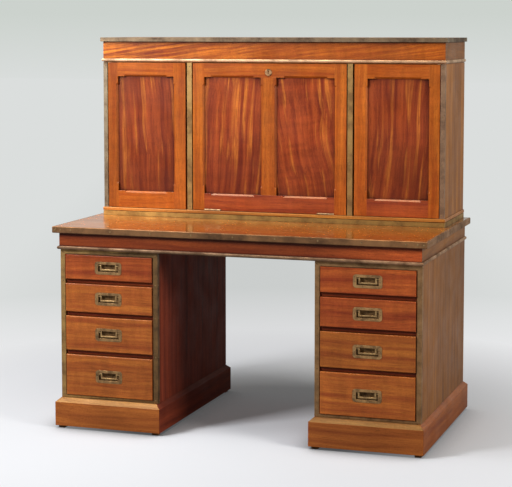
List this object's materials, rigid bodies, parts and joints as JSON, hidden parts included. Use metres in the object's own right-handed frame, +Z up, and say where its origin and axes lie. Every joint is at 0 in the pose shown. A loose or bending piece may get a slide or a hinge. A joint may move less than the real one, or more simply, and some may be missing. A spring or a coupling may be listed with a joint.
{
  "type": "campaign desk",
  "caption": "Brass-bound pedestal desk with drawers either side of a kneehole, and a cabinet on top with a fall between two panelled doors.",
  "frame": {"origin": "on the floor, under the middle of the desk's width and depth", "axes": "+Z up, the drawers and doors face -Y, +X to the right of someone facing them"},
  "size_m": [1.442, 0.8019, 1.4805],
  "materials": {
    "carcass_wood": "polished, with a worn satin sheen",
    "drawer_wood": "polished, with a worn satin sheen",
    "panel_wood": "polished, with dark vertical figure",
    "top_wood": "glossy polish, lightly marked",
    "lining_wood": "bare and dull",
    "brass": "aged, with lighter rubbed edges",
    "feet": "dark stain"
  },
  "bodies": {
    "desk": {"plinth_feet": "feet", "left_plinth": "carcass_wood", "left_pedestal_case": "carcass_wood", "left_drawer_rails": "carcass_wood", "left_pedestal_brass": "brass", "right_plinth": "carcass_wood", "right_pedestal_case": "carcass_wood", "right_drawer_rails": "carcass_wood", "right_pedestal_brass": "brass", "desk_frieze": "carcass_wood", "desk_frieze_bead": "brass", "desk_top": "top_wood", "desk_top_edging": "brass", "cabinet_base": "carcass_wood", "cabinet_base_brass": "brass", "cabinet_floor_and_top": "carcass_wood", "cabinet_sides": "carcass_wood", "cabinet_partitions": "carcass_wood", "cabinet_back": "lining_wood", "cabinet_shelves": "lining_wood", "cabinet_frieze": "carcass_wood", "cabinet_frieze_bead": "brass", "cornice_board": "carcass_wood", "cornice_edging": "brass", "cabinet_brass_strips": "brass", "door_pivots": "brass", "fall_hinge_fixed": "brass"},
    "fall": {"fall_frame": "carcass_wood", "fall_panels": "panel_wood", "fall_lock": "brass", "fall_hinge_moving": "brass"},
    "left_door": {"left_door_frame": "carcass_wood", "left_door_panel": "panel_wood"},
    "right_door": {"right_door_frame": "carcass_wood", "right_door_panel": "panel_wood"},
    "left_drawer_1": {"left_drawer_1": "drawer_wood", "left_handle_plate_1": "brass"},
    "left_bail_1": {"left_bail_1": "brass"},
    "left_drawer_2": {"left_drawer_2": "drawer_wood", "left_handle_plate_2": "brass"},
    "left_bail_2": {"left_bail_2": "brass"},
    "left_drawer_3": {"left_drawer_3": "drawer_wood", "left_handle_plate_3": "brass"},
    "left_bail_3": {"left_bail_3": "brass"},
    "left_drawer_4": {"left_drawer_4": "drawer_wood", "left_handle_plate_4": "brass"},
    "left_bail_4": {"left_bail_4": "brass"},
    "right_drawer_1": {"right_drawer_1": "drawer_wood", "right_handle_plate_1": "brass"},
    "right_bail_1": {"right_bail_1": "brass"},
    "right_drawer_2": {"right_drawer_2": "drawer_wood", "right_handle_plate_2": "brass"},
    "right_bail_2": {"right_bail_2": "brass"},
    "right_drawer_3": {"right_drawer_3": "drawer_wood", "right_handle_plate_3": "brass"},
    "right_bail_3": {"right_bail_3": "brass"},
    "right_drawer_4": {"right_drawer_4": "drawer_wood", "right_handle_plate_4": "brass"},
    "right_bail_4": {"right_bail_4": "brass"}
  },
  "joints": [
    {"name": "fall_hinge", "type": "hinge", "parent": "desk", "child": "fall", "pos_m": [0, 0.02075, 0.8075], "axis": [1, 0, 0], "range_deg": [0, 94]},
    {"name": "left_door_hinge", "type": "hinge", "parent": "desk", "child": "left_door", "pos_m": [-0.6668, 0.02775, 1.0935], "axis": [0, 0, -1], "range_deg": [0, 95]},
    {"name": "right_door_hinge", "type": "hinge", "parent": "desk", "child": "right_door", "pos_m": [0.6668, 0.02775, 1.0935], "axis": [0, 0, 1], "range_deg": [0, 95]},
    {"name": "left_drawer_1_slide", "type": "slide", "parent": "desk", "child": "left_drawer_1", "axis": [0, -1, 0], "range_m": [0, 0.42]},
    {"name": "left_bail_1_hinge", "type": "hinge", "parent": "left_drawer_1", "child": "left_bail_1", "pos_m": [-0.50175, -0.37695, 0.6281], "axis": [-1, 0, 0], "range_deg": [0, 100]},
    {"name": "left_drawer_2_slide", "type": "slide", "parent": "desk", "child": "left_drawer_2", "axis": [0, -1, 0], "range_m": [0, 0.42]},
    {"name": "left_bail_2_hinge", "type": "hinge", "parent": "left_drawer_2", "child": "left_bail_2", "pos_m": [-0.50175, -0.37695, 0.5106], "axis": [-1, 0, 0], "range_deg": [0, 100]},
    {"name": "left_drawer_3_slide", "type": "slide", "parent": "desk", "child": "left_drawer_3", "axis": [0, -1, 0], "range_m": [0, 0.42]},
    {"name": "left_bail_3_hinge", "type": "hinge", "parent": "left_drawer_3", "child": "left_bail_3", "pos_m": [-0.50175, -0.37695, 0.3746], "axis": [-1, 0, 0], "range_deg": [0, 100]},
    {"name": "left_drawer_4_slide", "type": "slide", "parent": "desk", "child": "left_drawer_4", "axis": [0, -1, 0], "range_m": [0, 0.42]},
    {"name": "left_bail_4_hinge", "type": "hinge", "parent": "left_drawer_4", "child": "left_bail_4", "pos_m": [-0.50175, -0.37695, 0.21435], "axis": [-1, 0, 0], "range_deg": [0, 100]},
    {"name": "right_drawer_1_slide", "type": "slide", "parent": "desk", "child": "right_drawer_1", "axis": [0, -1, 0], "range_m": [0, 0.42]},
    {"name": "right_bail_1_hinge", "type": "hinge", "parent": "right_drawer_1", "child": "right_bail_1", "pos_m": [0.50175, -0.37695, 0.6281], "axis": [-1, 0, 0], "range_deg": [0, 100]},
    {"name": "right_drawer_2_slide", "type": "slide", "parent": "desk", "child": "right_drawer_2", "axis": [0, -1, 0], "range_m": [0, 0.42]},
    {"name": "right_bail_2_hinge", "type": "hinge", "parent": "right_drawer_2", "child": "right_bail_2", "pos_m": [0.50175, -0.37695, 0.5106], "axis": [-1, 0, 0], "range_deg": [0, 100]},
    {"name": "right_drawer_3_slide", "type": "slide", "parent": "desk", "child": "right_drawer_3", "axis": [0, -1, 0], "range_m": [0, 0.42]},
    {"name": "right_bail_3_hinge", "type": "hinge", "parent": "right_drawer_3", "child": "right_bail_3", "pos_m": [0.50175, -0.37695, 0.3746], "axis": [-1, 0, 0], "range_deg": [0, 100]},
    {"name": "right_drawer_4_slide", "type": "slide", "parent": "desk", "child": "right_drawer_4", "axis": [0, -1, 0], "range_m": [0, 0.42]},
    {"name": "right_bail_4_hinge", "type": "hinge", "parent": "right_drawer_4", "child": "right_bail_4", "pos_m": [0.50175, -0.37695, 0.21435], "axis": [-1, 0, 0], "range_deg": [0, 100]}
  ]
}
